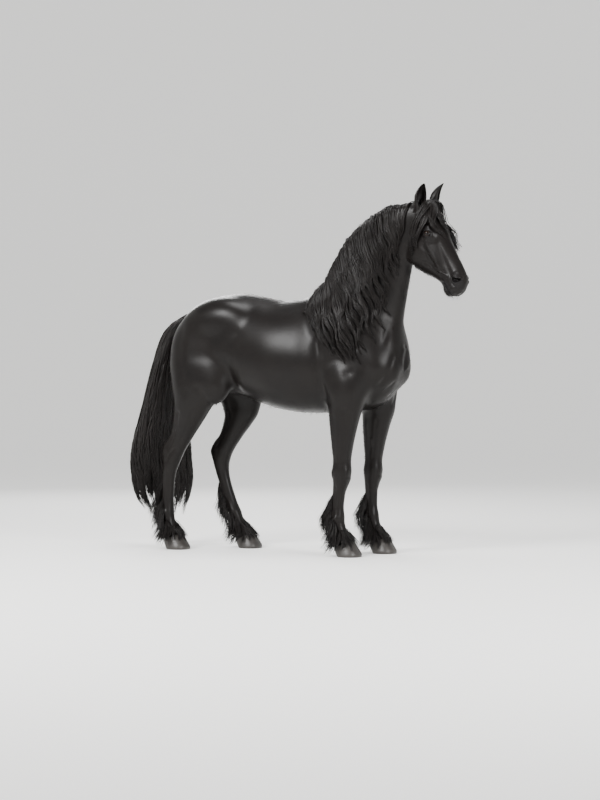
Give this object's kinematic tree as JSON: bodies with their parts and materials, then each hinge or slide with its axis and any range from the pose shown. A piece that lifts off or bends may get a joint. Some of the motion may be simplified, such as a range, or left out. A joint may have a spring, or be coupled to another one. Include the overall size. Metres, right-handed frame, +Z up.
{
  "type": "friesian horse",
  "caption": "Life-size standing black Friesian horse with a long wavy mane, a forelock, a full tail and feathered fetlocks.",
  "frame": {"origin": "middle of the bounding box, on the floor under the hooves", "axes": "+X forward, the way the horse faces; +Y to the horse's left; +Z up"},
  "size_m": [2.3148, 0.5892, 2.2523],
  "materials": {
    "coat": "short glossy black coat",
    "mane": "glossy black coat with long wavy hair",
    "face": "short glossy black coat with a forelock",
    "ears": "short black coat",
    "eyes": "wet, dark brown",
    "tail": "long black wavy hair",
    "feather": "short black coat with long fetlock hair",
    "hooves": "dark satin horn"
  },
  "bodies": {
    "root": {"torso": "coat", "neck": "mane", "head": "face", "ear_left": "ears", "ear_right": "ears", "eye_left": "eyes", "eye_right": "eyes", "tail": "tail", "foreleg_left_upper": "coat", "foreleg_left_lower": "feather", "hoof_fore_left": "hooves", "foreleg_right_upper": "coat", "foreleg_right_lower": "feather", "hoof_fore_right": "hooves", "hindleg_left_upper": "coat", "hindleg_left_lower": "feather", "hoof_hind_left": "hooves", "hindleg_right_upper": "coat", "hindleg_right_lower": "feather", "hoof_hind_right": "hooves"}
  },
  "joints": []
}
